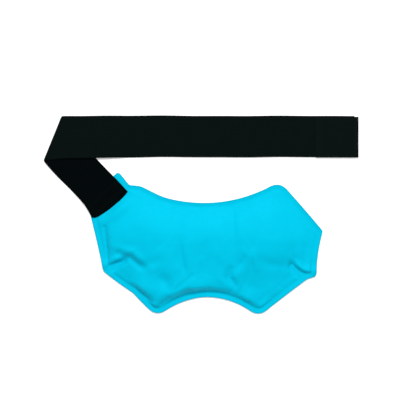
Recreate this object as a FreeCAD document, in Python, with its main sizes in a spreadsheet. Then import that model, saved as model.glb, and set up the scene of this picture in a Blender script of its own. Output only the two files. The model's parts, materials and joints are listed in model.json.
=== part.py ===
import FreeCAD, Part
import Sketcher
import os

# A cold compression wrap laid open on a flat surface: a gel pack between two welded covers, and an
# elastic strap sewn to a tab at the pack's upper left, folded back over itself and ending in a hook
# patch. Millimetres, +Z up. The origin is the middle of the laid out wrap, on the surface it lies on.
# Within the pack, x = 0 is the waist and y = 0 is the level of its two side corners.

sizes = [
    # name, value, meaning
    ("waistX", 8.88, "the pack's waist, from the origin along X"),
    ("cornerLevelY", -19.44, "the pack's side corners, from the origin along Y"),
    ("earHalfSpan", 87.0, "waist to the tip of an upper ear"),
    ("earHeight", 60.3, "side corners up to the tip of an ear, before rounding"),
    ("topWaistHeight", 34.2, "side corners up to the top edge at the waist"),
    ("cornerHalfSpan", 138.0, "waist to a side corner"),
    ("lowerCornerHalfSpan", 130.5, "waist to a lower corner"),
    ("lowerCornerDrop", 51.5, "side corners down to a lower corner"),
    ("lobeHalfSpan", 60.0, "waist to the tip of a lower lobe"),
    ("lobeDrop", 103.0, "side corners down to the tip of a lobe, before rounding"),
    ("bottomWaistDrop", 80.0, "side corners down to the bottom edge at the waist"),
    ("cornerRounding", 12.0, "radius of the outline's corners"),
    ("coverThickness", 0.6, "one laminated cover"),
    ("weldWidth", 6.0, "the welded rim round the gel"),
    ("gelHeight", 14.4, "thickness of the gel"),
    ("gelSideAngle", 35.0, "slope of the gel's side from upright, in degrees"),
    ("waistGap", 0.4, "gap between the two halves where the pack folds"),
    ("tabMargin", 2.0, "how far the tab stands out beside the strap, each side"),
    ("tabReach", 25.0, "how far the tab stands out under the strap"),
    ("tabRootDepth", 2.0, "how far the tab runs into the welded rim"),
    ("strapWidth", 50.0, "width of the elastic strap"),
    ("strapThickness", 1.5, "thickness of the strap"),
    ("leadAngle", 132.0, "direction in which the strap leaves the pack, in degrees from +X"),
    ("leadLength", 112.5, "strap from the pack's edge to the middle of the crease"),
    ("leadBite", 3.4, "how far a corner of the strap's end may reach in over the welded rim"),
    ("foldGap", 0.3, "clearance between the folded layers"),
    ("rampClearance", 4.0, "run past the strap's lower layer before it comes down"),
    ("rampLength", 32.0, "run that comes down from the fold to the surface"),
    ("runLength", 169.5, "from the crease to the middle bend of the run"),
    ("middleLength", 146.0, "from the middle bend to the bend before the hook patch"),
    ("endLength", 51.0, "strap under the hook patch"),
    ("bendGap", 0.3, "gap between strap stretches at a bend"),
    ("patchLength", 50.3, "length of the hook patch"),
    ("patchOverhang", 2.5, "how far the patch stands past the strap's end"),
    ("patchThickness", 1.2, "thickness of the hook patch"),
    ("seamInset", 3.0, "stitching from the edge of what it holds"),
    ("threadWidth", 1.0, "width of a row of stitching"),
    ("threadHeight", 0.4, "how far the stitching stands up"),
]

doc = FreeCAD.newDocument("coldCompressionWrap")
sheet = doc.addObject("Spreadsheet::Sheet", "Sizes")
for row, (name, value, meaning) in enumerate(sizes, start=1):
    sheet.set(f"A{row}", meaning)
    sheet.set(f"B{row}", str(value))
    sheet.setAlias(f"B{row}", name)
doc.recompute()

# Places and sizes that several pieces share, as expressions on the sheet. The strap is rooted at the
# middle of the slanted edge between the left ear and the left side corner. That edge runs along
# (alongX, alongY), and the skew is the angle between its normal and the strap.
coverTop = "2 * Sizes.coverThickness"
creaseSlant = "Sizes.strapWidth / 2 / tan(Sizes.leadAngle / 2)"
rootX = "-(Sizes.earHalfSpan + Sizes.cornerHalfSpan) / 2"
rootY = "Sizes.earHeight / 2"
edgeRun = "(Sizes.cornerHalfSpan - Sizes.earHalfSpan)"
edgeLength = f"sqrt({edgeRun} ^ 2 + Sizes.earHeight ^ 2)"
alongX = f"({edgeRun} / {edgeLength})"
alongY = f"(Sizes.earHeight / {edgeLength})"
cosSkew = f"({alongX} * sin(Sizes.leadAngle) - {alongY} * cos(Sizes.leadAngle))"
sinSkew = f"({alongX} * cos(Sizes.leadAngle) + {alongY} * sin(Sizes.leadAngle))"
leadStart = f"((abs({sinSkew}) * Sizes.strapWidth / 2 - Sizes.leadBite) / {cosSkew})"
leadTop = f"({coverTop} + Sizes.strapThickness)"
runUnderside = f"({leadTop} + Sizes.foldGap)"
creaseX = f"(Sizes.waistX + {rootX} + Sizes.leadLength * cos(Sizes.leadAngle))"
creaseY = f"(Sizes.cornerLevelY + {rootY} + Sizes.leadLength * sin(Sizes.leadAngle))"
patchStart = "(Sizes.endLength + Sizes.patchOverhang - Sizes.patchLength)"


def amount(expression):
    value = sheet.evalExpression(expression)
    return float(getattr(value, "Value", value))


def place(piece, x="0", y="0", z="0", turn=None):
    for axis, expression in (("x", x), ("y", y), ("z", z)):
        piece.setExpression(f"Placement.Base.{axis}", expression)
    if turn:
        piece.Placement.Rotation = FreeCAD.Rotation(FreeCAD.Vector(0, 0, 1), 0)
        piece.setExpression("Placement.Rotation.Angle", turn)
    return piece


def drawLoop(sketch, corners, bows=None):
    """A closed loop through the corners. A bow is a corner's index, the arc's middle and its radius."""
    bows = bows or {}
    points = [FreeCAD.Vector(amount(x), amount(y), 0) for x, y in corners]
    ends = []
    for index, start in enumerate(points):
        end = points[(index + 1) % len(points)]
        if index in bows:
            (middleX, middleY), radius = bows[index]
            middle = FreeCAD.Vector(amount(middleX), amount(middleY), 0)
            arc = Part.Arc(start, middle, end)
            circle = arc.toShape().Curve
            edge = sketch.addGeometry(Part.ArcOfCircle(circle, arc.FirstParameter, arc.LastParameter))
            first, last = sketch.getPoint(edge, 1), sketch.getPoint(edge, 2)
            forward = first.distanceToPoint(start) < last.distanceToPoint(start)
            ends.append((edge, 1, 2) if forward else (edge, 2, 1))
            bend = sketch.addConstraint(Sketcher.Constraint("Radius", edge, amount(radius)))
            sketch.setExpression(f"Constraints[{bend}]", radius)
        else:
            edge = sketch.addGeometry(Part.LineSegment(start, end))
            ends.append((edge, 1, 2))
    for index, (x, y) in enumerate(corners):
        edge, startPoint, _ = ends[index]
        before, _, endPoint = ends[index - 1]
        sketch.addConstraint(Sketcher.Constraint("Coincident", before, endPoint, edge, startPoint))
        for kind, expression in (("DistanceX", x), ("DistanceY", y)):
            gap = Sketcher.Constraint(kind, -1, 1, edge, startPoint, amount(expression))
            sketch.setExpression(f"Constraints[{sketch.addConstraint(gap)}]", expression)


def rectangle(left, right, bottom, top):
    return [(left, bottom), (right, bottom), (right, top), (left, top)]


def bodySketch(body, name, role):
    sketch = body.newObject("Sketcher::SketchObject", name)
    plane = [feature for feature in body.Origin.OriginFeatures if feature.Role == role][0]
    sketch.AttachmentSupport = [(plane, "")]
    sketch.MapMode = "FlatFace"
    doc.recompute()
    return sketch


def sheetBody(name, loops, thickness):
    """A flat piece of even thickness, cut to its loops and lying on z = 0 of its own frame."""
    body = doc.addObject("PartDesign::Body", name)
    sketch = bodySketch(body, f"{name}Cut", "XY_Plane")
    for loop in loops:
        drawLoop(sketch, loop)
    pad = body.newObject("PartDesign::Pad", f"{name}Thickness")
    pad.Profile = sketch
    pad.setExpression("Length", thickness)
    doc.recompute()
    return body


def ring(left, right, halfWidth):
    outer = rectangle(left, right, f"-({halfWidth})", halfWidth)
    inner = rectangle(f"{left} + Sizes.threadWidth", f"{right} - Sizes.threadWidth",
                      f"-({halfWidth}) + Sizes.threadWidth", f"{halfWidth} - Sizes.threadWidth")
    return [outer, inner]


# The pack's outline, with sharp corners: a dip between the ears, and a dip between the lobes.
def packOutline():
    sketch = doc.addObject("Sketcher::SketchObject", "packOutline")
    corners = [
        ("-Sizes.earHalfSpan", "Sizes.earHeight"),
        ("Sizes.earHalfSpan", "Sizes.earHeight"),
        ("Sizes.cornerHalfSpan", "0"),
        ("Sizes.lowerCornerHalfSpan", "-Sizes.lowerCornerDrop"),
        ("Sizes.lobeHalfSpan", "-Sizes.lobeDrop"),
        ("-Sizes.lobeHalfSpan", "-Sizes.lobeDrop"),
        ("-Sizes.lowerCornerHalfSpan", "-Sizes.lowerCornerDrop"),
        ("-Sizes.cornerHalfSpan", "0"),
    ]
    topDip = "(Sizes.earHeight - Sizes.topWaistHeight)"
    bottomDip = "(Sizes.lobeDrop - Sizes.bottomWaistDrop)"
    topRadius = f"(Sizes.earHalfSpan ^ 2 + {topDip} ^ 2) / (2 * {topDip})"
    bottomRadius = f"(Sizes.lobeHalfSpan ^ 2 + {bottomDip} ^ 2) / (2 * {bottomDip})"
    bows = {
        0: (("0", "Sizes.topWaistHeight"), topRadius),
        4: (("0", "-Sizes.bottomWaistDrop"), bottomRadius),
    }
    drawLoop(sketch, corners, bows)
    return sketch


def face(name, sketch):
    flat = doc.addObject("Part::Face", name)
    flat.Sources = [sketch]
    return flat


def offset(name, source, distance, join):
    outline = doc.addObject("Part::Offset2D", name)
    outline.Source = source
    outline.Mode = "Skin"
    outline.Join = join
    outline.setExpression("Value", distance)
    return outline


def extrude(name, outline, height, base="0", taper=None):
    solid = doc.addObject("Part::Extrusion", name)
    solid.Base = outline
    solid.DirMode = "Custom"
    solid.Dir = FreeCAD.Vector(0, 0, 1)
    solid.Solid = True
    solid.setExpression("LengthFwd", height)
    solid.setExpression("Placement.Base.z", base)
    if taper:
        solid.setExpression("TaperAngle", taper)
    return solid


def fuse(name, shapes):
    joined = doc.addObject("Part::MultiFuse", name)
    joined.Shapes = shapes
    return joined


def cut(name, base, tool):
    result = doc.addObject("Part::Cut", name)
    result.Base = base
    result.Tool = tool
    return result


# The tab leaves the slanted edge under the strap, and its root lies in the welded rim.
def tabOutline():
    sketch = doc.addObject("Sketcher::SketchObject", "tabOutline")
    spread = f"((Sizes.strapWidth / 2 + Sizes.tabMargin) / {cosSkew})"
    innerX = f"({rootX} + Sizes.tabRootDepth * {alongY})"
    innerY = f"({rootY} - Sizes.tabRootDepth * {alongX})"
    reachX = "(Sizes.tabReach + Sizes.tabRootDepth) * cos(Sizes.leadAngle)"
    reachY = "(Sizes.tabReach + Sizes.tabRootDepth) * sin(Sizes.leadAngle)"
    drawLoop(sketch, [
        (f"{innerX} - {spread} * {alongX}", f"{innerY} - {spread} * {alongY}"),
        (f"{innerX} + {spread} * {alongX}", f"{innerY} + {spread} * {alongY}"),
        (f"{innerX} + {spread} * {alongX} + {reachX}", f"{innerY} + {spread} * {alongY} + {reachY}"),
        (f"{innerX} - {spread} * {alongX} + {reachX}", f"{innerY} - {spread} * {alongY} + {reachY}"),
    ])
    return sketch


def halfSpace(name, left, right):
    """A box that takes away everything of the pack between two places along X."""
    box = doc.addObject("Part::Box", name)
    box.setExpression("Length", f"({right}) - ({left})")
    box.setExpression("Width", "2 * (Sizes.earHeight + Sizes.lobeDrop + Sizes.tabReach)")
    box.setExpression("Height", "3 * (Sizes.gelHeight + Sizes.coverThickness)")
    return place(box, left, "-(Sizes.earHeight + Sizes.lobeDrop + Sizes.tabReach)", "-Sizes.gelHeight")


# The pack: a back cover, the gel on it and a front cover over the gel, welded together at the rim.
def makePack():
    sharp = face("sharp", packOutline())
    pulledIn = offset("pulledIn", sharp, "-Sizes.cornerRounding", "Intersection")
    rounded = offset("rounded", pulledIn, "Sizes.cornerRounding", "Arc")
    gelOutline = offset("gelOutline", sharp, "-Sizes.weldWidth", "Intersection")
    domeOutline = offset("domeOutline", sharp, "Sizes.coverThickness - Sizes.weldWidth", "Intersection")
    tab = face("tab", tabOutline())
    doc.recompute()

    gel = extrude("gel", gelOutline, "Sizes.gelHeight", "Sizes.coverThickness", "-Sizes.gelSideAngle")
    dome = extrude("dome", domeOutline, "Sizes.gelHeight + Sizes.coverThickness", "Sizes.coverThickness",
                   "-Sizes.gelSideAngle")
    backSheet = fuse("backSheet", [
        extrude("backRim", rounded, "Sizes.coverThickness"),
        extrude("backTab", tab, "Sizes.coverThickness"),
    ])
    frontSheet = fuse("frontSheet", [
        extrude("frontRim", rounded, "Sizes.coverThickness", "Sizes.coverThickness"),
        extrude("frontTab", tab, "Sizes.coverThickness", "Sizes.coverThickness"),
        dome,
    ])
    frontShell = cut("frontShell", frontSheet, gel)

    farSide = "(Sizes.cornerHalfSpan + Sizes.earHalfSpan + Sizes.tabReach)"
    notLeft = halfSpace("notLeft", "-Sizes.waistGap / 2", farSide)
    notRight = halfSpace("notRight", f"-{farSide}", "Sizes.waistGap / 2")
    pieces = []
    for side, rest in (("left", notLeft), ("right", notRight)):
        for kind, whole in (("back_cover", backSheet), ("gel", gel), ("front_cover", frontShell)):
            half = cut(f"{kind}_{side}", whole, rest)
            pieces.append(place(half, "Sizes.waistX", "Sizes.cornerLevelY"))
    return pieces


# The lead: the strap's first stretch, on top of the tab, square at the pack and slanted at the crease.
def makeLead():
    half = "Sizes.strapWidth / 2"
    lead = sheetBody("strap_lead", [[
        (leadStart, f"-{half}"),
        (f"Sizes.leadLength + {creaseSlant}", f"-{half}"),
        (f"Sizes.leadLength - {creaseSlant}", half),
        (leadStart, half),
    ]], "Sizes.strapThickness")
    seam = ring(f"{leadStart} + Sizes.seamInset", "Sizes.tabReach - Sizes.seamInset",
                f"{half} - Sizes.seamInset")
    stitching = sheetBody("tab_stitching", seam, "Sizes.threadHeight")
    x = f"Sizes.waistX + {rootX}"
    y = f"Sizes.cornerLevelY + {rootY}"
    place(lead, x, y, coverTop, "Sizes.leadAngle")
    place(stitching, x, y, leadTop, "Sizes.leadAngle")
    return [lead, stitching]


# The run: folded back over the lead, it comes down to the surface past the lead's edge. Its cut end is
# set back from the crease, so that it meets nothing when the strap is unfolded.
def makeRun():
    body = doc.addObject("PartDesign::Body", "strap_run")
    sketch = bodySketch(body, "runSide", "XZ_Plane")
    start = f"-({creaseSlant})"
    rampStart = "(Sizes.strapWidth / 2 * tan(Sizes.leadAngle / 2) + Sizes.rampClearance)"
    rampEnd = f"({rampStart} + Sizes.rampLength)"
    end = "Sizes.runLength - Sizes.bendGap / 2"
    thick = "Sizes.strapThickness"
    drawLoop(sketch, [
        (start, runUnderside),
        (rampStart, runUnderside),
        (rampEnd, "0"),
        (end, "0"),
        (end, thick),
        (rampEnd, thick),
        (rampStart, f"{runUnderside} + {thick}"),
        (start, f"{runUnderside} + {thick}"),
    ])
    pad = body.newObject("PartDesign::Pad", "runWidth")
    pad.Profile = sketch
    pad.SideType = "Symmetric"
    pad.setExpression("Length", "Sizes.strapWidth")
    doc.recompute()

    crease = bodySketch(body, "runCrease", "XY_Plane")
    half = "Sizes.strapWidth / 2"
    drawLoop(crease, [
        (f"-2 * ({creaseSlant}) + Sizes.foldGap", f"-2 * ({half})"),
        (f"2 * ({creaseSlant}) + Sizes.foldGap", f"2 * ({half})"),
        (f"-2 * ({creaseSlant}) + Sizes.foldGap", f"2 * ({half})"),
    ])
    slant = body.newObject("PartDesign::Pocket", "runSlant")
    slant.Profile = crease
    slant.Type = "ThroughAll"
    slant.Midplane = True
    before = pad.Shape.Volume
    doc.recompute()
    if slant.Shape.Volume >= before:
        raise ValueError("the run's crease cuts nothing")
    return [place(body, creaseX, creaseY)]


# The far end of the strap: a plain middle stretch, then the end that carries the hook patch.
def makeFarEnd():
    half = "Sizes.strapWidth / 2"
    start = "Sizes.bendGap / 2"
    middleCut = rectangle(start, f"Sizes.middleLength - {start}", f"-{half}", half)
    endCut = rectangle(start, "Sizes.endLength", f"-{half}", half)
    patchCut = rectangle(patchStart, f"{patchStart} + Sizes.patchLength", f"-{half}", half)
    middle = sheetBody("strap_middle", [middleCut], "Sizes.strapThickness")
    end = sheetBody("strap_end", [endCut], "Sizes.strapThickness")
    patch = sheetBody("hook_patch", [patchCut], "Sizes.patchThickness")
    seam = ring(f"{patchStart} + Sizes.threadWidth", "Sizes.endLength - Sizes.seamInset",
                f"{half} - Sizes.seamInset")
    stitching = sheetBody("patch_stitching", seam, "Sizes.threadHeight")
    place(middle, f"{creaseX} + Sizes.runLength", creaseY)
    endX = f"{creaseX} + Sizes.runLength + Sizes.middleLength"
    place(end, endX, creaseY)
    place(patch, endX, creaseY, "Sizes.strapThickness")
    place(stitching, endX, creaseY, "Sizes.strapThickness + Sizes.patchThickness")
    return [middle, end, patch, stitching]


pieces = makePack() + makeLead() + makeRun() + makeFarEnd()
doc.recompute()

faults = [item.Label for item in doc.Objects if {"Invalid", "Error"} & set(item.State)]
for piece in pieces:
    if piece.Shape.isNull() or not piece.Shape.isValid() or not piece.Shape.Solids:
        faults.append(f"{piece.Label}: bad shape")
if faults:
    raise ValueError("; ".join(faults))

os.makedirs("parts", exist_ok=True)
cubicMillimetres = 1000
for piece in pieces:
    piece.Shape.exportStep(f"parts/{piece.Label}.step")
    print(f"{piece.Label:18} {piece.Shape.Volume / cubicMillimetres:8.2f} cm3")
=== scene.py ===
import bpy
import bmesh
import json
import math
import numpy as np
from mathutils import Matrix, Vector, noise
from mathutils.geometry import delaunay_2d_cdt


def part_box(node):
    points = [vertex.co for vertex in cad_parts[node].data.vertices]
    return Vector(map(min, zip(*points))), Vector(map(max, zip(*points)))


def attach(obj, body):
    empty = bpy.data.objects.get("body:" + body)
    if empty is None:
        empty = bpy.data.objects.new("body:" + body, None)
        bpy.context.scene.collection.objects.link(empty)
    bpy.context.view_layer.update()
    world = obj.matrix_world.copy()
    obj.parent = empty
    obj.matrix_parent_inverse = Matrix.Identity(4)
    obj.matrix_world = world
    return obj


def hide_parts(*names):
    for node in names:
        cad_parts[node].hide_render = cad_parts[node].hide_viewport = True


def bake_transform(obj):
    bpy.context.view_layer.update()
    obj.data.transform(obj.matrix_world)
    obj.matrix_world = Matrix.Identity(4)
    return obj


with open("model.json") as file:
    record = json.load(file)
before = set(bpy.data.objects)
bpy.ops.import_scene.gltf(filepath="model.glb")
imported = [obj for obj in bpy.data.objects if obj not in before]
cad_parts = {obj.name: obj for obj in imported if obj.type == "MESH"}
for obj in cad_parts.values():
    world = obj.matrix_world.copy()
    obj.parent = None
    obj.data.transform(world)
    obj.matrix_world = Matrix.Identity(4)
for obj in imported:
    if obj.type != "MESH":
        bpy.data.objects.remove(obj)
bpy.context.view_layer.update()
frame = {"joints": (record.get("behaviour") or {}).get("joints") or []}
print("frame loaded")

# Lengths in this script are millimetres until a mesh is made; mm turns them into metres.
mm = 0.001
uvSpan = 500.0   # millimetres across a flat layout
joints = {joint["name"]: joint for joint in frame["joints"]}


def jointPlace(name):
    return np.array(joints[name]["pos_m"]) / mm


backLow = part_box("back_cover_right")[0]
pack = {
    "waistX": (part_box("back_cover_left")[1].x + backLow.x) / 2 / mm,
    "lobeDrop": 99.86,          # side corners down to the lowest point of a lobe
    "rimWidth": 6.0,            # welded rim round the gel
    "skin": 0.55,               # thickness of one cover
    "backTop": 0.58,
    "rimTop": 1.2,
    "height": 15.0,             # top of the swell
    "reach": 46.0,              # how far in from the weld the swell flattens out
    "spacing": 3.0,             # size of a mesh face before it is subdivided
    "boundarySpacing": 2.6,
    "swellPower": 2.4,          # how steeply it rises from the weld
    "gentler": 0.9,             # how much less steeply along the gentle stretches of the rim
    "tabLine": [(-93.4, 53.8), (-141.8, 12.5)],   # where the tab leaves the pack, from its right end
    "tabWeld": 2.0,             # how far the weld reaches in past that line
    "edgeShadeWidth": 1.6,            # width of the painted shade along the rolled cut edge
    "foldBefore": 12.0,         # the waist's bend, before and after its axis
    "foldAfter": 68.0,
}
cornerLevel = backLow.y / mm + pack["lobeDrop"]

# The cut of the covers, clockwise from the left ear: x from the waist, y from the level of the side
# corners, how far the corner is rounded, and how far the edge that follows bows out (or in, if negative).
outline = [
    (-86.3, 55.9, 8.0, 0.0),
    (-56.5, 40.9, 9.0, -15.4),
    (85.6, 59.8, 13.0, 0.4),
    (138.0, -0.4, 1.5, -2.0),
    (130.3, -55.4, 4.0, 0.0),
    (119.6, -58.2, 3.0, -0.4),
    (60.2, -104.2, 12.0, -23.6),
    (-62.4, -103.7, 12.0, 0.9),
    (-91.0, -75.8, 4.0, 0.6),
    (-127.6, -49.0, 2.0, -0.4),
    (-141.6, 12.5, 5.0, 0.0),
    (-146.5, 34.0, 3.0, 0.0),
    (-109.6, 71.8, 4.0, 0.0),
    (-94.6, 53.2, 1.0, 0.0),
]


def smooth(t):
    t = np.clip(t, 0.0, 1.0)
    return t * t * (3 - 2 * t)


# From 0 to 1 over a length that begins at start.
def rising(values, start, length):
    return smooth((values - start) / length)


# How far each point of a closed loop lies along it, and its whole length last.
def distances(loop):
    gaps = np.linalg.norm(np.roll(loop, -1, 0) - loop, axis=1)
    return np.concatenate([[0], np.cumsum(gaps)])


def pointsAlong(loop, travelled, places):
    closed = np.vstack([loop, loop[:1]])
    places = np.mod(places, travelled[-1])
    return np.stack([np.interp(places, travelled, closed[:, axis]) for axis in (0, 1)], -1)


# The outline as evenly spaced points: its edges bow, and a moving average rounds its corners.
def outlineLoop(corners, step):
    dense = []
    marks = []
    for index, (x, y, rounding, bow) in enumerate(corners):
        start = np.array([x, y])
        edge = np.array(corners[(index + 1) % len(corners)][:2]) - start
        length = np.linalg.norm(edge)
        outward = np.array([-edge[1], edge[0]]) / length
        count = max(2, int(length / 0.5))
        marks.append((len(dense), rounding))
        for t in np.linspace(0, 1, count, endpoint=False):
            dense.append(start + edge * t + outward * bow * 4 * t * (1 - t))
    dense = np.array(dense)
    travelled = distances(dense)
    window = np.zeros(len(dense))
    for index, rounding in marks:
        apart = np.abs(travelled[:-1] - travelled[index])
        apart = np.minimum(apart, travelled[-1] - apart)
        window = np.maximum(window, rounding * np.clip((rounding + 2 - apart) / 2, 0, 1))
    places = [travelled[:-1] + window * sample for sample in np.linspace(-1, 1, 15)]
    rounded = np.mean([pointsAlong(dense, travelled, place) for place in places], 0)
    travelled = distances(rounded)
    count = int(round(travelled[-1] / step))
    return pointsAlong(rounded, travelled, np.linspace(0, travelled[-1], count, endpoint=False))


def distanceTo(points, loop):
    along = np.roll(loop, -1, 0) - loop
    square = (along ** 2).sum(1)
    best = np.full(len(points), 1e9)
    for first in range(0, len(points), 2000):
        part = points[first:first + 2000, None] - loop[None]
        t = np.clip((part * along[None]).sum(2) / square[None], 0, 1)
        gap = np.linalg.norm(part - t[..., None] * along[None], axis=2)
        best[first:first + 2000] = gap.min(1)
    return best


def pathGap(points, path):
    best = np.full(len(points), 1e9)
    side = np.zeros(len(points))
    share = np.zeros(len(points))
    path = np.array(path, float)
    lengths = np.linalg.norm(path[1:] - path[:-1], axis=1)
    total, gone = lengths.sum(), 0.0
    for start, end, length in zip(path[:-1], path[1:], lengths):
        along = (end - start) / length
        t = np.clip((points - start) @ along, 0, length)
        off = points - (start + t[:, None] * along)
        distance = np.linalg.norm(off, axis=1)
        nearer = distance < best
        best = np.where(nearer, distance, best)
        turn = along[0] * off[:, 1] - along[1] * off[:, 0]
        side = np.where(nearer, turn, side)
        share = np.where(nearer, (gone + t) / total, share)
        gone += length
    return best, side, share


def inside(points, loop):
    x, y = points[:, 0:1], points[:, 1:2]
    x1, y1 = loop[:, 0], loop[:, 1]
    x2, y2 = np.roll(x1, -1), np.roll(y1, -1)
    crosses = (y1 > y) != (y2 > y)
    where = (x2 - x1) * (y - y1) / np.where(y2 == y1, 1e-9, y2 - y1) + x1
    return (crosses & (x < where)).sum(1) % 2 == 1


# A flat triangulated sheet: rows that follow the edge, then an even net inside them.
def cutSheet(loop, rows, spacing):
    after, before = np.roll(loop, -1, 0), np.roll(loop, 1, 0)
    tangent = after - before
    tangent /= np.linalg.norm(tangent, axis=1)[:, None]
    inward = np.stack([tangent[:, 1], -tangent[:, 0]], -1)
    points = [loop]
    for row in rows:
        moved = loop + inward * row
        keep = (distanceTo(moved, loop) > row - 0.12) & inside(moved, loop)
        kept = []
        for point in moved[keep]:
            if not kept or min(np.linalg.norm(np.array(kept[-3:]) - point, axis=1)) > 0.62 * spacing:
                kept.append(point)
        points.append(np.array(kept))
    low, high = loop.min(0), loop.max(0)
    columns = np.arange(low[0], high[0], spacing)
    lines = np.arange(low[1], high[1], spacing * math.sqrt(3) / 2)
    net = np.array([(x + (index % 2) * spacing / 2, y) for index, y in enumerate(lines) for x in columns])
    net = net[inside(net, loop)]
    net = net[distanceTo(net, loop) > rows[-1] + spacing * 0.7]
    points.append(net)
    flat = np.vstack(points)
    count = len(loop)
    edges = [(index, (index + 1) % count) for index in range(count)]
    verts, _, faces, _, _, _ = delaunay_2d_cdt(
        [Vector(p) for p in flat], edges, [list(range(count))], 1, 1e-5)
    return np.array([tuple(v) for v in verts]), [tuple(f) for f in faces]


def facingUp(points, faces):
    turned = []
    for face in faces:
        a, b, c = points[face[0]], points[face[1]], points[face[2]]
        area = (b[0] - a[0]) * (c[1] - a[1]) - (b[1] - a[1]) * (c[0] - a[0])
        turned.append(tuple(face) if area > 0 else tuple(reversed(face)))
    return turned


def meshObject(name, points, faces, scale=mm):
    mesh = bpy.data.meshes.new(name)
    mesh.from_pydata([tuple(p) for p in np.asarray(points) * scale], [], faces)
    mesh.validate()
    made = bpy.data.objects.new(name, mesh)
    bpy.context.scene.collection.objects.link(made)
    return made


def pointsOf(made):
    points = np.empty(len(made.data.vertices) * 3)
    made.data.vertices.foreach_get("co", points)
    return points.reshape(-1, 3) / mm


def applied(made):
    graph = bpy.context.evaluated_depsgraph_get()
    mesh = bpy.data.meshes.new_from_object(made.evaluated_get(graph))
    made.modifiers.clear()
    made.data = mesh
    return made


# A closed shell between an upper and a lower surface that share their faces. The first material is on
# the upper side, the second on the lower side and the edge.
def shell(name, faces, upper, lower, flat, materials):
    count = len(upper)
    sides = dict.fromkeys((a, b) for face in faces for a, b in zip(face, face[1:] + face[:1]))
    rim = [(a, b) for a, b in sides if (b, a) not in sides]
    allFaces = list(faces)
    allFaces += [tuple(count + index for index in reversed(face)) for face in faces]
    allFaces += [(b, a, count + a, count + b) for a, b in rim]
    made = meshObject(name, np.vstack([upper, lower]), allFaces)
    for material in materials:
        made.data.materials.append(material)
    side = np.zeros(len(allFaces), int)
    side[len(faces):] = len(materials) - 1
    made.data.polygons.foreach_set("material_index", side)
    made.data.polygons.foreach_set("use_smooth", np.ones(len(allFaces), bool))
    made.data.set_sharp_from_angle(angle=math.radians(50))
    layer = made.data.uv_layers.new(name="flat")
    both = np.vstack([flat, flat])
    corner = np.empty(len(made.data.loops), int)
    made.data.loops.foreach_get("vertex_index", corner)
    low = flat.min(0)
    layer.data.foreach_set("uv", ((both[corner] - low) / uvSpan).ravel())
    return made


def pointMask(made, name, values):
    layer = made.data.attributes.new(name, "FLOAT", "POINT")
    layer.data.foreach_set("value", np.asarray(values, np.float32))


def nodeGroup(name, inputs, outputs):
    tree = bpy.data.node_groups.new(name, "ShaderNodeTree")
    for label, value in inputs:
        socket = tree.interface.new_socket(name=label, in_out="INPUT", socket_type=(
            "NodeSocketVector" if value is None else "NodeSocketFloat"))
        if value is not None:
            socket.default_value = value
    for label in outputs:
        tree.interface.new_socket(name=label, in_out="OUTPUT", socket_type="NodeSocketFloat")
    return tree, tree.nodes.new("NodeGroupInput"), tree.nodes.new("NodeGroupOutput")


def maths(tree, operation, first, second=None):
    node = tree.nodes.new("ShaderNodeMath")
    node.operation = operation
    for socket, value in zip(node.inputs, (first, second)):
        if value is None:
            continue
        if isinstance(value, (int, float)):
            socket.default_value = value
        else:
            tree.links.new(value, socket)
    return node.outputs[0]


# Crossed threads: a height and a tone for cloth, from a flat coordinate in millimetres.
def weaveGroup():
    tree, given, out = nodeGroup("crossedThreads", [
        ("Place", None), ("Warp Pitch", 1.0), ("Weft Pitch", 1.0), ("Warp Share", 0.5)], ["Height", "Tone"])
    split = tree.nodes.new("ShaderNodeSeparateXYZ")
    tree.links.new(given.outputs["Place"], split.inputs[0])
    waves = []
    for axis, pitch in (("X", "Warp Pitch"), ("Y", "Weft Pitch")):
        turns = maths(tree, "DIVIDE", split.outputs[axis], given.outputs[pitch])
        angle = maths(tree, "MULTIPLY", turns, 2 * math.pi)
        waves.append(maths(tree, "SINE", angle))
    over = maths(tree, "MULTIPLY", waves[0], waves[1])
    ribs = maths(tree, "MULTIPLY", waves[1], given.outputs["Warp Share"])
    total = maths(tree, "ADD", over, ribs)
    tree.links.new(total, out.inputs["Height"])
    tone = maths(tree, "MULTIPLY_ADD", total, 0.25)
    tone.node.inputs[2].default_value = 0.5
    tree.links.new(tone, out.inputs["Tone"])
    return tree


# Slow, uneven change of tone over a surface.
def mottleGroup():
    tree, given, out = nodeGroup("unevenTone", [("Place", None), ("Size", 20.0), ("Amount", 0.1)], ["Tone"])
    size = maths(tree, "DIVIDE", 1.0, given.outputs["Size"])
    cloud = tree.nodes.new("ShaderNodeTexNoise")
    cloud.inputs["Detail"].default_value = 4.0
    cloud.inputs["Roughness"].default_value = 0.55
    tree.links.new(given.outputs["Place"], cloud.inputs["Vector"])
    tree.links.new(size, cloud.inputs["Scale"])
    centred = maths(tree, "SUBTRACT", cloud.outputs["Fac"], 0.5)
    scaled = maths(tree, "MULTIPLY", centred, given.outputs["Amount"])
    tree.links.new(maths(tree, "ADD", scaled, 1.0), out.inputs["Tone"])
    return tree


weaveTree = weaveGroup()
mottleTree = mottleGroup()


def newMaterial(name, settings):
    material = bpy.data.materials.new(name)
    material.use_nodes = True
    tree = material.node_tree
    shader = next(node for node in tree.nodes if node.type == "BSDF_PRINCIPLED")
    for label, value in settings.items():
        shader.inputs[label].default_value = value
    return material, tree, shader


def flatPlace(tree, span):
    layer = tree.nodes.new("ShaderNodeUVMap")
    layer.uv_map = "flat"
    scale = tree.nodes.new("ShaderNodeMapping")
    scale.inputs["Scale"].default_value = (span, span, span)
    tree.links.new(layer.outputs["UV"], scale.inputs["Vector"])
    return scale.outputs["Vector"]


# Millimetres along the object's own axes, for pieces that have no flat layout.
def ownPlace(tree):
    coordinates = tree.nodes.new("ShaderNodeTexCoord")
    scale = tree.nodes.new("ShaderNodeMapping")
    scale.inputs["Scale"].default_value = (1 / mm, 1 / mm, 1 / mm)
    tree.links.new(coordinates.outputs["Object"], scale.inputs["Vector"])
    return scale.outputs["Vector"]


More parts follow.
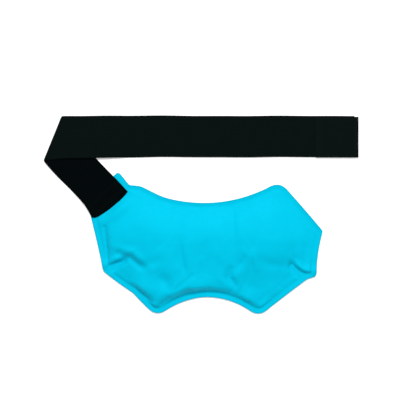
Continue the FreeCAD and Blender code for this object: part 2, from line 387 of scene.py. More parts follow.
def groupNode(tree, source, place, values):
    node = tree.nodes.new("ShaderNodeGroup")
    node.node_tree = source
    tree.links.new(place, node.inputs["Place"])
    for label, value in values.items():
        node.inputs[label].default_value = value
    return node


def tinted(tree, colour, factor):
    mix = tree.nodes.new("ShaderNodeVectorMath")
    mix.operation = "SCALE"
    mix.inputs[0].default_value = colour[:3]
    tree.links.new(factor, mix.inputs["Scale"])
    return mix.outputs["Vector"]


def bump(tree, height, distance, strength, under=None):
    node = tree.nodes.new("ShaderNodeBump")
    node.inputs["Distance"].default_value = distance * mm
    node.inputs["Strength"].default_value = strength
    tree.links.new(height, node.inputs["Height"])
    if under is not None:
        tree.links.new(under, node.inputs["Normal"])
    return node.outputs["Normal"]


coverLook = {
    "colour": (0.0004, 0.49, 0.70),
    "roughness": 0.5,
    "pitch": 0.9,
    # painted shade: how much the cover's colour is darkened along its rolled cut edge
    "edgeShadeDepth": 0.3,
}


def coverMaterial():
    material, tree, shader = newMaterial("wovenCoverBlue", {
        "Roughness": coverLook["roughness"],
        "Specular IOR Level": 0.10,
        "Specular Tint": (0.05, 0.85, 1.0, 1.0),
    })
    place = flatPlace(tree, uvSpan)
    weave = groupNode(tree, weaveTree, place, {
        "Warp Pitch": coverLook["pitch"], "Weft Pitch": coverLook["pitch"], "Warp Share": 0.2})
    mottle = groupNode(tree, mottleTree, place, {"Size": 26.0, "Amount": 0.10})
    grain = groupNode(tree, mottleTree, place, {"Size": 1.6, "Amount": 0.10})
    tone = maths(tree, "MULTIPLY", mottle.outputs["Tone"], grain.outputs["Tone"])
    # painted shade: the cover's colour darkens towards its rolled cut edge, where that edge turns away from
    # the light
    rim = tree.nodes.new("ShaderNodeAttribute")
    rim.attribute_name = "rolledEdgeShade"
    shade = maths(tree, "MULTIPLY_ADD", rim.outputs["Fac"], -coverLook["edgeShadeDepth"])
    shade.node.inputs[2].default_value = 1.0
    tone = maths(tree, "MULTIPLY", tone, shade)
    tree.links.new(tinted(tree, coverLook["colour"], tone), shader.inputs["Base Color"])
    tree.links.new(bump(tree, weave.outputs["Height"], 0.05, 0.25), shader.inputs["Normal"])
    return material


def gelMaterial():
    material, tree, shader = newMaterial("coldGel", {
        "Roughness": 0.15, "Specular IOR Level": 0.4, "IOR": 1.36, "Subsurface Weight": 0.2,
        "Subsurface Scale": 0.004})
    place = flatPlace(tree, uvSpan)
    mottle = groupNode(tree, mottleTree, place, {"Size": 8.0, "Amount": 0.25})
    tree.links.new(tinted(tree, (0.05, 0.42, 0.62), mottle.outputs["Tone"]), shader.inputs["Base Color"])
    tree.links.new(bump(tree, mottle.outputs["Tone"], 0.6, 0.3), shader.inputs["Normal"])
    return material


def clothMaterial(name, colour, look):
    material, tree, shader = newMaterial(name, {
        "Roughness": look["roughness"],
        "Specular IOR Level": look["specular"],
    })
    place = flatPlace(tree, uvSpan)
    weave = groupNode(tree, weaveTree, place, {
        "Warp Pitch": look["warp"], "Weft Pitch": look["weft"], "Warp Share": look["share"]})
    mottle = groupNode(tree, mottleTree, place, {"Size": 14.0, "Amount": 0.35})
    fuzz = groupNode(tree, mottleTree, place, {"Size": 0.7, "Amount": look["fuzz"]})
    tone = maths(tree, "MULTIPLY", mottle.outputs["Tone"], fuzz.outputs["Tone"])
    woven = maths(tree, "MULTIPLY_ADD", weave.outputs["Tone"], look["contrast"])
    woven.node.inputs[2].default_value = 1.0 - look["contrast"] / 2
    tone = maths(tree, "MULTIPLY", tone, woven)
    tree.links.new(tinted(tree, colour, tone), shader.inputs["Base Color"])
    normal = bump(tree, weave.outputs["Height"], look["depth"], 0.6)
    tree.links.new(bump(tree, fuzz.outputs["Tone"], look["pile"], 0.5, normal), shader.inputs["Normal"])
    return material


# Thread and moulded hooks: too small to show a weave, so only uneven tone and a slight roughness.
def fineMaterial(name, colour, look):
    material, tree, shader = newMaterial(name, {
        "Roughness": look["roughness"], "Specular IOR Level": look["specular"]})
    place = ownPlace(tree)
    tone = groupNode(tree, mottleTree, place, {"Size": look["size"], "Amount": look["amount"]})
    fibre = groupNode(tree, mottleTree, place, {"Size": look["fibre"], "Amount": 1.0})
    tree.links.new(tinted(tree, colour, tone.outputs["Tone"]), shader.inputs["Base Color"])
    tree.links.new(bump(tree, fibre.outputs["Tone"], look["depth"], 0.5), shader.inputs["Normal"])
    return material


elasticLook = {"roughness": 0.75, "specular": 0.035, "warp": 1.3, "weft": 1.67, "share": 0.8, "fuzz": 0.6,
               "contrast": 0.5, "depth": 0.12, "pile": 0.1}
pileLook = {"roughness": 0.95, "specular": 0.015, "warp": 2.2, "weft": 2.2, "share": 0.1, "fuzz": 1.6,
            "contrast": 0.2, "depth": 0.05, "pile": 0.5}
hookLook = {"roughness": 0.7, "specular": 0.035, "warp": 1.6, "weft": 1.6, "share": 0.3, "fuzz": 0.5,
            "contrast": 0.4, "depth": 0.1, "pile": 0.1}
coverBlue = coverMaterial()
coldGel = gelMaterial()
elasticBlack = clothMaterial("elasticWeaveBlack", (0.0010, 0.0039, 0.0036), elasticLook)
pileBlack = clothMaterial("loopPileBlack", (0.0009, 0.0021, 0.0025), pileLook)
hookBlack = clothMaterial("hookTapeBlack", (0.0013, 0.0046, 0.0042), hookLook)
hookMoulded = fineMaterial("mouldedHookBlack", (0.0013, 0.0046, 0.0042), {
    "roughness": 0.5, "specular": 0.05, "size": 3.0, "amount": 0.4, "fibre": 0.25, "depth": 0.01})
threadBlack = fineMaterial("threadBlack", (0.0014, 0.0046, 0.0044), {
    "roughness": 0.6, "specular": 0.06, "size": 1.2, "amount": 0.6, "fibre": 0.12, "depth": 0.04})
print("materials made")


# The front cover's cut, flat, with rows of points that follow the edge and the weld.
loop = outlineLoop(outline, pack["boundarySpacing"])
rows = [1.6, 3.4, pack["rimWidth"], pack["rimWidth"] + 2.0, pack["rimWidth"] + 4.6]
flat, faces = cutSheet(loop, rows, pack["spacing"])
faces = facingUp(flat, faces)


# How far in from the weld each point lies. The tab is welded right through, so it has no swell.
def weldGap(points):
    gap = distanceTo(points, loop) - pack["rimWidth"]
    start, end = np.array(pack["tabLine"])
    along = (end - start) / np.linalg.norm(end - start)
    fromTab = (points - start) @ np.array([-along[1], along[0]])
    return np.minimum(gap, fromTab - pack["tabWeld"])


gap = weldGap(flat)


def neighbourAverage(values, faces, count, rounds, held):
    pairs = np.array([(a, b) for face in faces for a, b in zip(face, face[1:] + face[:1])])
    pairs = np.vstack([pairs, pairs[:, ::-1]])
    share = np.bincount(pairs[:, 0], minlength=count)
    for _ in range(rounds):
        total = np.bincount(pairs[:, 0], weights=values[pairs[:, 1]], minlength=count)
        values = np.where(held, values, total / share)
    return values


# The swell rises more gently along these stretches of the rim: a path and how far it counts.
gentle = [([(114, -48), (72, -81)], 34.0), ([(92, 46), (131, -6), (127, -44)], 26.0)]


def swell(points, gap):
    slow = np.zeros(len(points))
    for path, width in gentle:
        slow = np.maximum(slow, np.exp(-(pathGap(points, path)[0] / width) ** 2))
    t = np.clip(gap / (pack["reach"] * (1 + pack["gentler"] * slow)), 0, 1)
    return 1 - (1 - t) ** (pack["swellPower"] - pack["gentler"] * slow)


lift = swell(flat, gap)
lift = neighbourAverage(lift, faces, len(flat), 40, gap < 3.0)
rimTop = pack["rimTop"]
start = np.column_stack([flat, rimTop + (pack["height"] - rimTop) * 0.8 * lift])

cloth = {"pressure": 6.0, "slack": -0.018, "frames": 24, "cap": 9.0}


# The front cover swells under the gel's pressure, held all round by the weld, and puckers there.
def inflate(start, faces, held):
    made = meshObject("swellingCover", start, faces)
    group = made.vertex_groups.new(name="weld")
    group.add([int(index) for index in np.nonzero(held)[0]], 1.0, "REPLACE")
    modifier = made.modifiers.new("swell", "CLOTH")
    settings = modifier.settings
    settings.vertex_group_mass = "weld"
    settings.quality = 6
    settings.mass = 0.25
    settings.tension_stiffness = 18
    settings.compression_stiffness = 18
    settings.shear_stiffness = 8
    settings.bending_stiffness = 0.35
    settings.shrink_min = cloth["slack"]
    settings.use_pressure = True
    settings.uniform_pressure_force = cloth["pressure"]
    settings.effector_weights.gravity = 0
    modifier.collision_settings.use_collision = False
    modifier.point_cache.frame_start = 1
    modifier.point_cache.frame_end = cloth["frames"]
    scene = bpy.context.scene
    for number in range(1, cloth["frames"] + 1):
        scene.frame_set(number)
    graph = bpy.context.evaluated_depsgraph_get()
    mesh = bpy.data.meshes.new_from_object(made.evaluated_get(graph))
    points = np.empty(len(mesh.vertices) * 3)
    mesh.vertices.foreach_get("co", points)
    scene.frame_set(1)
    bpy.data.objects.remove(made)
    return points.reshape(-1, 3) / mm


puffed = inflate(start, faces, gap < 0.5)
moved = puffed - start
size = np.linalg.norm(moved, axis=1)
moved *= np.minimum(1, cloth["cap"] / np.maximum(size, 1e-6))[:, None]
puffed = start + moved
puffed[:, 2] = np.maximum(puffed[:, 2], rimTop)
crown = np.percentile(puffed[:, 2], 98)
swellRise = pack["height"] - 0.8 - rimTop
puffed[:, 2] = rimTop + (puffed[:, 2] - rimTop) * swellRise / (crown - rimTop)
# the upper half is drawn smooth by the strap, the lower half stays more slack
taut = 0.55 + 0.4 * rising(flat[:, 1], -26.0, 30.0)
drawn = rimTop + swellRise * lift
puffed[:, 2] += (drawn - puffed[:, 2]) * taut
puffed[:, :2] += (flat - puffed[:, :2]) * taut[:, None]
print("cover swelled", len(flat), "points")


def subdivided(points, faces):
    made = meshObject("subdividing", points, faces)
    modifier = made.modifiers.new("finer", "SUBSURF")
    modifier.levels = 1
    modifier.render_levels = 1
    modifier.boundary_smooth = "PRESERVE_CORNERS"
    applied(made)
    finer = pointsOf(made)
    polygons = [tuple(polygon.vertices) for polygon in made.data.polygons]
    bpy.data.objects.remove(made)
    return finer, polygons


top, quads = subdivided(puffed, faces)
flatFine, _ = subdivided(np.column_stack([flat, np.zeros(len(flat))]), faces)
flatFine = flatFine[:, :2]
fineGap = weldGap(flatFine)

# Creases pressed into the cover: a path, its depth, its half width, and the height of the fold that
# stands up beside it, to the left of the path's direction.
creases = [
    ([(-130, -51), (-115, -43), (-102, -36)], 6.5, 3.8, 2.8),
    ([(-108, -28), (-95, -32), (-81, -43)], 3.3, 4.4, 2.0),
    ([(-81, -43), (-62, -36)], 2.0, 6.0, 0.0),
    ([(102, -34), (100, -43)], 2.4, 4.5, 0.6),
    ([(100, -43), (107, -49.5), (114, -53.5), (129, -57)], 5.8, 3.8, 2.4),
    ([(-20, -54), (-39, -71)], 1.4, 3.0, 0.3),
    ([(-50, -66), (-60, -52)], 3.2, 8.0, 0.0),
    ([(26, -47), (24, -56), (31, -66)], 3.0, 4.5, 0.8),
    ([(41, -34), (35, -44)], 2.0, 5.0, 0.0),
    ([(64, -36), (76, -41), (86, -42)], 1.5, 6.0, 0.0),
    ([(-120, 4), (-104, 14), (-90, 28)], 2.0, 8.0, 0.0),
    ([(-90, -71), (-70, -86)], 4.0, 3.2, 0.0),
    ([(-125.5, 4), (-122, -42)], 2.6, 2.2, 0.0),
    ([(-62, -93), (-50, -82)], 3.0, 3.4, 0.0),
]
# Pleats that stand up, or furrows with a height below 0: a path, the height, and how wide they are to
# the path's left and to its right.
ridges = [
    ([(-36, -16), (-35, 30)], -1.5, 16.0, 7.0),
    ([(-28, -54), (-32, -34), (-35, -14)], -1.6, 8.0, 3.2),
    ([(30, -34), (29, 34)], -1.8, 14.0, 5.5),
    ([(4, -40), (12, -58), (30, -70)], 1.4, 7.0, 6.0),
    ([(54, -26), (47, -38)], 0.8, 6.0, 4.0),
    ([(54, -26), (58, -50)], 1.3, 6.0, 3.5),
    ([(-64, -91), (-48, -77), (-28, -69), (0, -66.5), (23, -69.5)], 7.6, 16.0, 5.6),
    ([(36, -76), (61, -89)], 5.0, 13.0, 4.4),
    ([(-119, 2), (-115.5, -38)], 1.8, 11.0, 4.0),
    ([(-127, 11), (-99, 35)], 2.4, 3.5, 8.0),
    ([(-89, -61), (-66, -80)], 5.0, 12.0, 4.6),
    ([(106, -40), (113, -47), (127, -51)], 2.6, 12.0, 4.0),
]
# Where the rim itself is pinched up beside a crease: a place, a height and a half width.
pinches = [(-125, -41, 2.2, 5.5), (-117, -53, 0.8, 4.0), (127, -49, 2.0, 5.5)]


def pressCreases(flatPoints, gap):
    change = np.zeros(len(flatPoints))
    room = rising(gap, -0.5, 3.5)
    for path, depth, width, fold in creases:
        distance, side, share = pathGap(flatPoints, path)
        fade = 0.45 + 0.55 * np.sin(math.pi * np.clip(share * 0.8 + 0.1, 0, 1))
        change -= depth * fade * np.exp(-(distance / width) ** 2)
        if fold:
            beside = np.exp(-((side - width * 1.7) / (width * 1.1)) ** 2)
            change += fold * fade * (beside * np.exp(-(distance / (width * 4)) ** 2))
    for path, height, leftWidth, rightWidth in ridges:
        distance, side, share = pathGap(flatPoints, path)
        leftShare = 0.5 + 0.5 * side / np.maximum(distance, 0.01)
        width = rightWidth + (leftWidth - rightWidth) * np.clip(leftShare, 0, 1)
        fade = np.sin(math.pi * np.clip(share * 0.7 + 0.15, 0, 1))
        change += height * fade * np.exp(-(distance / width) ** 1.6)
    return change * room


def lumps(flatPoints, size, seed):
    return np.array([noise.noise((x / size, y / size, seed)) for x, y in flatPoints])


swellShare = smooth(fineGap / 25.0)
top[:, 2] += pressCreases(flatFine, fineGap)
top[:, 2] += swellShare * (0.8 * lumps(flatFine, 34.0, 3.1) + 0.3 * lumps(flatFine, 13.0, 7.7))
# the gel has sunk away from the lower half, past a soft and uneven step
sunk = 1.6 * smooth((-12.0 - flatFine[:, 1]) / 34.0)
step = 0.6 * smooth((-8.0 - flatFine[:, 1] - 5.0 * lumps(flatFine, 40.0, 5.5)) / 14.0)
top[:, 2] -= swellShare * (sunk + step)
top[:, 2] = np.maximum(top[:, 2], rimTop)


# The welded rim lies flat but not dead flat.
def ripple(flatPoints, gap):
    wave = 0.5 + 0.5 * lumps(flatPoints, 17.0, 11.3) + 0.25 * lumps(flatPoints, 7.0, 4.2)
    wave = np.clip(wave, 0, 1.2) * smooth(-gap / pack["rimWidth"])
    for x, y, height, width in pinches:
        away = np.hypot(flatPoints[:, 0] - x, flatPoints[:, 1] - y)
        wave = wave + height * np.exp(-(away / width) ** 2) * smooth((3.0 - gap) / 4.0)
    return wave


rise = ripple(flatFine, fineGap)
top[:, 2] = np.maximum(top[:, 2], rimTop) + rise


def placed(points):
    return np.asarray(points) + np.array([pack["waistX"], cornerLevel, 0.0])


under = top.copy()
under[:, 2] -= pack["skin"]
under[:, :2] = flatFine + (top[:, :2] - flatFine) * 0.98

frontCover = shell("frontCover", quads, placed(top), placed(under), flatFine, [coverBlue])
# painted shade along the rolled cut edge: a mask that is 1 at the edge and 0 past its width
pointMask(frontCover, "rolledEdgeShade", np.tile(smooth(1 - distanceTo(flatFine, loop) / pack["edgeShadeWidth"]), 2))

backFlat, backFaces = cutSheet(outlineLoop(outline, 4.0), [3.0, pack["rimWidth"], 11.0], 5.0)
backFaces = facingUp(backFlat, backFaces)
backGap = weldGap(backFlat)
backRise = ripple(backFlat, backGap)
backUpper = np.column_stack([backFlat, pack["backTop"] + backRise])
backLower = np.column_stack([backFlat, backRise])
backCover = shell("backCover", backFaces, placed(backUpper), placed(backLower), backFlat, [coverBlue])
# the same painted shade along the back cover's rolled cut edge
pointMask(backCover, "rolledEdgeShade", np.tile(smooth(1 - distanceTo(backFlat, loop) / pack["edgeShadeWidth"]), 2))

within = fineGap > 0.6
keptFaces = [face for face in quads if all(within[list(face)])]
used = sorted({index for face in keptFaces for index in face})
renumber = {old: new for new, old in enumerate(used)}
keptFaces = [tuple(renumber[index] for index in face) for face in keptFaces]
gelUpper = under[used]
gelUpper[:, 2] = np.maximum(gelUpper[:, 2] - 0.05, pack["backTop"] + 0.07)
gelLower = gelUpper.copy()
gelLower[:, 2] = pack["backTop"] + 0.02
gelFilling = shell("gelFilling", keptFaces, placed(gelUpper), placed(gelLower), flatFine[used], [coldGel])

for made, slotName in ((frontCover, "cover"), (backCover, "cover"), (gelFilling, "gel")):
    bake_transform(made)
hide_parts("front_cover_left", "front_cover_right")
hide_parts("back_cover_left", "back_cover_right")
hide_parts("gel_left", "gel_right")
print("pack made")


strap = {
    "width": 50.0,
    "thickness": 1.5,
    "leadAngle": math.radians(132.0),
    "leadLength": 112.5,
    "rootX": -112.5,           # the middle of the strap's root, from the waist and the side corners
    "rootY": 30.15,
    "startAlong": 1.3,         # where the cut end lies, along the strap from its root
    "leadShift": 4.0,          # the lead lies this far to the side of its middle line,
    "rootShift": 2.6,          # its root this far
    "runShift": 1.0,           # and the run, past the crease, this far
    "drawnIn": 0.03,           # pulling has made the lead this much narrower
    "endSlant": 1.75,          # the cut end leans back by this at its left corner
    "endBow": 3.4,             # bows out by this
    "endRound": 2.4,           # and that corner is rounded off by this
    "creaseSet": 1.4,          # the crease lies this far inside its axis, on the middle line,
    "creaseLean": 0.033,       # and leans this much across it
    "flare": 6.3,              # the end's left corner spreads this far
    "flareLength": 27.0,
    "rampLength": 34.0,        # the run comes down from the crease over this length,
    "lift": 0.7,               # and then lifts off the ground by up to this in slow waves
    "offGround": 0.1,          # the lead's gap to the ground where it sags most
    "columns": 60,
    "ribDepth": 0.05,
    "rowStep": 3.0,
}
crease = jointPlace("strap_unfold")
curl = jointPlace("strap_curl")
leadWay = np.array([math.cos(strap["leadAngle"]), math.sin(strap["leadAngle"])])
leadSide = np.array([-leadWay[1], leadWay[0]])
root = np.array([pack["waistX"] + strap["rootX"], cornerLevel + strap["rootY"]])
creaseAngle = strap["leadAngle"] / 2
pastCrease = np.array([-math.sin(creaseAngle), math.cos(creaseAngle)])
alongCrease = np.array([math.cos(creaseAngle), math.sin(creaseAngle)])
layer = strap["thickness"] / 2
foldRadius = crease[2] - (pack["rimTop"] + layer)
rampStart = strap["width"] / 2 * math.tan(creaseAngle) + 3.0


# The place, seen from above, of a place on the strap before it turns over.
def strapSpot(along, across):
    shift = strap["rootShift"] + (strap["leadShift"] - strap["rootShift"]) * rising(along, 20.0, 60.0)
    shift = shift + (strap["runShift"] - strap["leadShift"]) * rising(along, 88.0, 44.0)
    spread = strap["flare"] * np.clip(1 - along / strap["flareLength"], 0, 1) ** 1.6
    wander = 0.35 * np.sin(along / 23.0) + 0.25 * np.sin(along / 11.0 + 1.0)
    drawn = 1 - strap["drawnIn"] * rising(along, 14.0, 26.0) * (1 - rising(along, 52.0, 30.0))
    flared = spread * np.clip(across / (strap["width"] / 2), 0, 1) ** 2
    sideways = across * drawn + shift + flared + wander * 0.5
    return root + along[:, None] * leadWay + sideways[:, None] * leadSide


# Heights of the middle of the strap's thickness: the lead sags between the tab and the crease.
def leadHeight(along):
    raised = pack["rimTop"] + layer
    sag = rising(along, 26.0, 26.0) * (1 - rising(along, 68.0, 34.0))
    return raised - sag * (raised - layer - strap["offGround"])


def runHeight(x):
    drop = rising(x, crease[0] + rampStart + 1.0, strap["rampLength"])
    top = crease[2] + foldRadius
    wave = 0.5 + 0.5 * np.sin((x - crease[0]) / 31.0 + 0.6)
    return top - drop * (top - layer) + drop * strap["lift"] * wave * wave


# How far a flat place lies past the strap's crease.
def pastTurn(flatPoints):
    out = (flatPoints - crease[:2]) @ pastCrease
    up = (flatPoints - crease[:2]) @ alongCrease
    return out + (strap["creaseSet"] - strap["creaseLean"] * up) * (1 - rising(out, 20.0, 140.0))


# Where a place on the flat strap comes to lie. The offset from the middle of its thickness is above 0 on
# the pile side, which is up on the lead, and below 0 on the plain side, which is up on the run.
def folded(flatPoints, along, offset):
    beyond = pastTurn(flatPoints)
    turned = np.clip(beyond / foldRadius, 0, math.pi)
    outwardFlat = np.sin(turned)
    outwardUp = -np.cos(turned)
    half = math.pi * foldRadius
    reach = np.where(beyond < 0, 0.0, np.where(beyond < half, beyond, 2 * beyond - half))
    spot = flatPoints - reach[:, None] * pastCrease
    spot = spot + ((foldRadius - offset) * outwardFlat)[:, None] * pastCrease
    lead = leadHeight(along) + offset
    bend = crease[2] + (foldRadius - offset) * outwardUp
    run = runHeight(spot[:, 0]) - offset
    height = np.where(beyond <= 0, lead, np.where(beyond < half, bend, run))
    return np.column_stack([spot, height])


# A stretch of the strap between two places along it, as a closed strip with fine ribs along it.
def strapStretch(name, first, last, materials):
    count = max(2, int((last - first) / strap["rowStep"]))
    stations = np.linspace(first, last, count + 1)
    half = strap["width"] / 2
    edge = np.linspace(-half, half, strap["columns"] + 1)
    work = bmesh.new()
    if first == strap["startAlong"]:
        ends = first + strap["endSlant"] * edge / half + strap["endBow"] * (edge / half) ** 2
        ends = ends + strap["endRound"] * np.clip((edge - half + 6.0) / 6.0, 0, 1) ** 2
    else:
        ends = np.full(len(edge), first)
    # the rows straighten out over the first stretch
    grid = [[work.verts.new((a + (end - first) * (1 - smooth((a - first) / 40.0)), b, 0))
             for b, end in zip(edge, ends)] for a in stations]
    for row, following in zip(grid[:-1], grid[1:]):
        for index in range(len(edge) - 1):
            work.faces.new((row[index], following[index], following[index + 1], row[index + 1]))
    # the strap turns over along a slanted line, which needs faces of its own
    across = pastCrease - strap["creaseLean"] * alongCrease
    turn = (root - crease[:2]) @ across + strap["creaseSet"]
    normal = Vector((leadWay @ across, leadSide @ across, 0))
    for step in range(9):
        beyond = foldRadius * math.pi * step / 8 + (0.01 if step == 0 else 0)
        shifted = beyond - turn - strap["leadShift"] * 0.7 * normal.y
        point = Vector((shifted / normal.x, 0, 0))
        bmesh.ops.bisect_plane(work, geom=work.verts[:] + work.edges[:] + work.faces[:],
                               plane_co=point, plane_no=normal)
    work.verts.index_update()
    cut = np.array([tuple(v.co) for v in work.verts])[:, :2]
    faces = [tuple(v.index for v in face.verts) for face in work.faces]
    work.free()
    along, across = cut[:, 0], cut[:, 1]
    spots = strapSpot(along, across)
    fromEdge = half - np.abs(across)
    rounded = np.sqrt(np.clip(1 - (1 - np.clip(fromEdge / 0.9, 0, 1)) ** 2, 0.12, 1))
    column = (across + half) / (2 * half) * strap["columns"]
    rib = strap["ribDepth"] * np.cos(math.pi * column)
    thick = (layer + rib) * rounded
    pileSide = folded(spots, along, thick)
    plainSide = folded(spots, along, -thick)
    # on the flat cut, pile side up, so the faces face out
    return shell(name, facingUp(spots, faces), pileSide, plainSide, cut, materials)


runFrom = strap["leadLength"]
alongAt = {
    "rampStart": runFrom + rampStart,
    "curlEnd": runFrom + (curl[0] - crease[0]) + 60.0,
    "end": runFrom + (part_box("strap_end")[1].x / mm - crease[0]),
}
strapMaterials = [pileBlack, elasticBlack]
strapFold = strapStretch("strapFold", strap["startAlong"], alongAt["rampStart"], strapMaterials)
strapRun = strapStretch("strapRun", alongAt["rampStart"], alongAt["curlEnd"], strapMaterials)
strapTail = strapStretch("strapTail", alongAt["curlEnd"], alongAt["end"], strapMaterials)

# the turn lies between the top of the lead's ribs and the bottom of the run's
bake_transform(strapFold)
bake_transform(strapRun)
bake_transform(strapTail)
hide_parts("strap_lead")
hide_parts("strap_run")
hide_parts("strap_middle", "strap_end")
print("strap made")


patchLow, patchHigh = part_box("hook_patch")
strapEndLow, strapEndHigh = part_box("strap_end")
patch = {
    "below": 0.3,              # the tape reaches past the strap's lower edge,
    "short": 1.1,              # stops short of its upper edge,
    "longer": 1.7,             # reaches further in than the plain box,
    "inset": 0.3,              # and stops short of the box's end
    "gap": 0.04,               # between strap and tape
    "thickness": 0.8,
    "lines": 34,               # of points, each way
    "pitch": 1.55,             # from hook to hook
    "hookHeight": 0.75,
    "hookWidth": 0.16,
}


def hookTape():
    left, right = patchLow.x / mm - patch["longer"], patchHigh.x / mm - patch["inset"]
    bottom = strapEndLow.y / mm - patch["below"]
    topEdge = strapEndHigh.y / mm - patch["short"]
    lines = patch["lines"]
    points = np.array([(x, y) for x in np.linspace(left, right, lines)
                       for y in np.linspace(bottom, topEdge, lines)])
    faces = [(first, first + lines, first + lines + 1, first + 1)
             for row in range(lines - 1) for first in range(row * lines, row * lines + lines - 1)]
    under = runHeight(points[:, 0]) + layer + patch["gap"]
    upper = np.column_stack([points, under + patch["thickness"]])
    lower = np.column_stack([points, under])
    made = shell("hookPatch", faces, upper, lower, points, [hookBlack])
    return made, (left, right, bottom, topEdge)


hookPatch, patchEdges = hookTape()


def geometryTree(name, inputs):
    tree = bpy.data.node_groups.new(name, "GeometryNodeTree")
    tree.interface.new_socket(name="Geometry", in_out="INPUT", socket_type="NodeSocketGeometry")
    for label, value in inputs:
        kind = "NodeSocketMaterial" if value is None else "NodeSocketFloat"
        socket = tree.interface.new_socket(name=label, in_out="INPUT", socket_type=kind)
        if value is not None:
            socket.default_value = value
    tree.interface.new_socket(name="Geometry", in_out="OUTPUT", socket_type="NodeSocketGeometry")
    return tree, tree.nodes.new("NodeGroupInput"), tree.nodes.new("NodeGroupOutput")


def finishTree(tree, given, out, instances):
    real = tree.nodes.new("GeometryNodeRealizeInstances")
    paint = tree.nodes.new("GeometryNodeSetMaterial")
    tree.links.new(instances, real.inputs["Geometry"])
    tree.links.new(real.outputs["Geometry"], paint.inputs["Geometry"])
    tree.links.new(given.outputs["Material"], paint.inputs["Material"])
    tree.links.new(paint.outputs["Geometry"], out.inputs[0])


# Stitches laid end to end along each edge path of the mesh that the tree is given.
def stitchTree():
    tree, given, out = geometryTree("stitchRow", [
        ("Stitch Pitch", 0.003), ("Stitch Length", 0.0023), ("Thread Radius", 0.0003), ("Material", None)])
    toCurve = tree.nodes.new("GeometryNodeMeshToCurve")
    resample = tree.nodes.new("GeometryNodeResampleCurve")
    resample.mode = "LENGTH"
    tree.links.new(given.outputs["Geometry"], toCurve.inputs["Mesh"])
    tree.links.new(toCurve.outputs["Curve"], resample.inputs["Curve"])
    tree.links.new(given.outputs["Stitch Pitch"], resample.inputs["Length"])
    toPoints = tree.nodes.new("GeometryNodeInstanceOnPoints")
    tangent = tree.nodes.new("GeometryNodeInputTangent")
    align = tree.nodes.new("FunctionNodeAlignRotationToVector")
    align.axis = "X"
    tree.links.new(tangent.outputs[0], align.inputs["Vector"])
    stitch = tree.nodes.new("GeometryNodeMeshUVSphere")
    stitch.inputs["Segments"].default_value = 6
    stitch.inputs["Rings"].default_value = 5
    stitch.inputs["Radius"].default_value = 1.0
    size = tree.nodes.new("ShaderNodeCombineXYZ")
    halfLength = maths(tree, "MULTIPLY", given.outputs["Stitch Length"], 0.5)
    tree.links.new(halfLength, size.inputs["X"])
    tree.links.new(given.outputs["Thread Radius"], size.inputs["Y"])
    tree.links.new(given.outputs["Thread Radius"], size.inputs["Z"])
    tree.links.new(resample.outputs["Curve"], toPoints.inputs["Points"])
    tree.links.new(stitch.outputs["Mesh"], toPoints.inputs["Instance"])
    tree.links.new(align.outputs["Rotation"], toPoints.inputs["Rotation"])
    tree.links.new(size.outputs["Vector"], toPoints.inputs["Scale"])
    finishTree(tree, given, out, toPoints.outputs["Instances"])
    return tree


# One small hook on each point of the mesh that the tree is given: a stem bent over at its top.
def hookTree():
    tree, given, out = geometryTree("hookField", [
        ("Hook Height", 0.00075), ("Hook Width", 0.00016), ("Material", None)])
    arc = tree.nodes.new("GeometryNodeCurveArc")
    arc.inputs["Resolution"].default_value = 5
    arc.inputs["Radius"].default_value = 0.5
    arc.inputs["Start Angle"].default_value = 0.0
    arc.inputs["Sweep Angle"].default_value = math.radians(200)
    upright = tree.nodes.new("GeometryNodeTransform")
    upright.inputs["Rotation"].default_value = (math.radians(90), 0, 0)
    size = tree.nodes.new("GeometryNodeTransform")
    sizeVector = tree.nodes.new("ShaderNodeCombineXYZ")
    for axis in "XYZ":
        tree.links.new(given.outputs["Hook Height"], sizeVector.inputs[axis])
    tree.links.new(arc.outputs["Curve"], upright.inputs["Geometry"])
    tree.links.new(upright.outputs["Geometry"], size.inputs["Geometry"])
    tree.links.new(sizeVector.outputs["Vector"], size.inputs["Scale"])
    profile = tree.nodes.new("GeometryNodeCurvePrimitiveCircle")
    profile.inputs["Resolution"].default_value = 4
    tree.links.new(given.outputs["Hook Width"], profile.inputs["Radius"])
    tube = tree.nodes.new("GeometryNodeCurveToMesh")
    tube.inputs["Fill Caps"].default_value = True
    tree.links.new(size.outputs["Geometry"], tube.inputs["Curve"])
    tree.links.new(profile.outputs["Curve"], tube.inputs["Profile Curve"])
    toPoints = tree.nodes.new("GeometryNodeInstanceOnPoints")
    tree.links.new(given.outputs["Geometry"], toPoints.inputs["Points"])
    tree.links.new(tube.outputs["Mesh"], toPoints.inputs["Instance"])
    finishTree(tree, given, out, toPoints.outputs["Instances"])
    return tree


def grown(name, points, edges, tree, values):
    mesh = bpy.data.meshes.new(name)
    mesh.from_pydata([tuple(p) for p in np.asarray(points) * mm], edges, [])
    made = bpy.data.objects.new(name, mesh)
    bpy.context.scene.collection.objects.link(made)
    modifier = made.modifiers.new("grow", "NODES")
    modifier.node_group = tree
    for item in tree.interface.items_tree:
        if item.in_out == "INPUT" and item.name in values:
            modifier[item.identifier] = values[item.name]
    graph = bpy.context.evaluated_depsgraph_get()
    result = bpy.data.meshes.new_from_object(made.evaluated_get(graph))
    made.modifiers.clear()
    made.data = result
    made.data.polygons.foreach_set("use_smooth", np.ones(len(result.polygons), bool))
    print(name, len(result.polygons), "faces")
    return made


stitchRows = stitchTree()
hookRows = hookTree()
threadValues = {
    "Stitch Pitch": 2.8 * mm,
    "Stitch Length": 2.4 * mm,
    "Thread Radius": 0.28 * mm,
    "Material": threadBlack,
}


def pathEdges(paths, heightAt, step=2.0):
    points, edges = [], []
    for path in paths:
        for start, end in zip(path[:-1], path[1:]):
            start, end = np.array(start, float), np.array(end, float)
            count = max(1, int(np.linalg.norm(end - start) / step))
            first = len(points)
            for t in np.linspace(0, 1, count + 1):
                x, y = start + (end - start) * t
                points.append((x, y, heightAt(x, y)))
            edges += [(first + i, first + i + 1) for i in range(count)]
    return points, edges


def box(left, right, bottom, topEdge):
    return [(left, bottom), (right, bottom), (right, topEdge), (left, topEdge), (left, bottom)]


def patchTop(x, y):
    return float(runHeight(np.array([x]))[0]) + layer + patch["gap"] + patch["thickness"] + 0.05


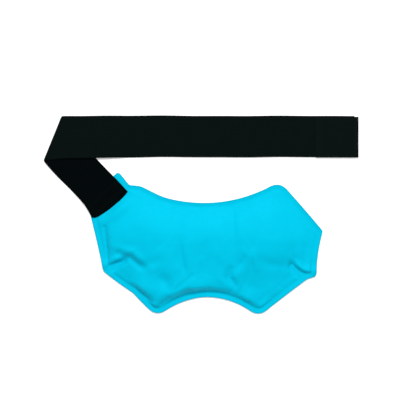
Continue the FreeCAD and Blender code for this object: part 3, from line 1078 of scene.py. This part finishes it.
left, right, bottom, topEdge = patchEdges
seams = [box(left + 2.2, right - 3.0, bottom + 2.0, topEdge - 2.0),
         [(left + 4.8, bottom + 2.0), (left + 4.8, topEdge - 2.0)]]
points, edges = pathEdges(seams, patchTop)
patchStitching = grown("patchStitching", points, edges, stitchRows, threadValues)

spots = [(x, y, patchTop(x, y) - 0.1)
         for row, y in enumerate(np.arange(bottom + 4.0, topEdge - 3.4, patch["pitch"]))
         for x in np.arange(left + 7.0 + (row % 2) * patch["pitch"] / 2, right - 4.4, patch["pitch"])]
hookField = grown("hookField", spots, [], hookRows, {
    "Hook Height": patch["hookHeight"] * mm,
    "Hook Width": patch["hookWidth"] * mm,
    "Material": hookMoulded,
})


def leadTopAt(x, y):
    along = float((np.array([x, y]) - root) @ leadWay)
    return float(leadHeight(np.array([along]))[0]) + layer + 0.05


def onLead(along, across):
    return tuple(root + along * leadWay + (across + strap["rootShift"]) * leadSide)


tabSeam = {"near": 8.0, "far": 22.0, "half": 21.0, "rowGap": 2.0}
seams = []
for inset in (0.0, tabSeam["rowGap"]):
    near, far = tabSeam["near"] + inset, tabSeam["far"] - inset
    side = tabSeam["half"] - inset
    seams.append([onLead(near, -side), onLead(near, side), onLead(far, side), onLead(far, -side),
                  onLead(near, -side)])
points, edges = pathEdges(seams, leadTopAt)
tabStitching = grown("tabStitching", points, edges, stitchRows, threadValues)

for made in (hookPatch, hookField, patchStitching):
    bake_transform(made)
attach(tabStitching, "pack_left")
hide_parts("hook_patch")
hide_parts("patch_stitching")
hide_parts("tab_stitching")
print("patch and stitching made")


studio = {
    "viewWidth": 503.4, "viewX": 7.9, "viewY": 8.0, "cameraHeight": 2.0,
    "keyPower": 54.5, "keySize": 1.1, "keyPlace": (0.15, 1.2, 2.1), "ambient": 0.44,
    "floorReach": 8.0, "floorLevel": -0.0002,
}


def floor():
    reach, level = studio["floorReach"], studio["floorLevel"]
    corners = [(x * reach, y * reach, level) for x, y in ((-1, -1), (1, -1), (1, 1), (-1, 1))]
    made = meshObject("floor", corners, [(0, 1, 2, 3)], 1.0)
    material, tree, shader = newMaterial("paleFloor", {
        "Base Color": (0.94, 0.94, 0.94, 1.0), "Roughness": 0.9, "Specular IOR Level": 0.0,
        "Emission Color": (1.0, 1.0, 1.0, 1.0), "Emission Strength": 0.22})
    made.data.materials.append(material)


def areaLight(name, place, target, size, power):
    light = bpy.data.lights.new(name, "AREA")
    light.shape = "SQUARE"
    light.size = size
    light.energy = power
    made = bpy.data.objects.new(name, light)
    made.location = place
    made.rotation_euler = (Vector(target) - Vector(place)).to_track_quat("-Z", "Y").to_euler()
    bpy.context.scene.collection.objects.link(made)


def camera():
    lens = bpy.data.cameras.new("camera")
    lens.sensor_width = 36.0
    lens.lens = lens.sensor_width * studio["cameraHeight"] / (studio["viewWidth"] * mm)
    made = bpy.data.objects.new("camera", lens)
    made.location = (studio["viewX"] * mm, studio["viewY"] * mm, studio["cameraHeight"])
    bpy.context.scene.collection.objects.link(made)
    bpy.context.scene.camera = made


floor()
areaLight("keyLight", studio["keyPlace"], (0, 0, 0), studio["keySize"], studio["keyPower"])
camera()
world = bpy.data.worlds.new("studio")
world.use_nodes = True
world.node_tree.nodes["Background"].inputs["Color"].default_value = (1, 1, 1, 1)
world.node_tree.nodes["Background"].inputs["Strength"].default_value = studio["ambient"]
bpy.context.scene.world = world
bpy.context.scene.view_settings.view_transform = "Standard"
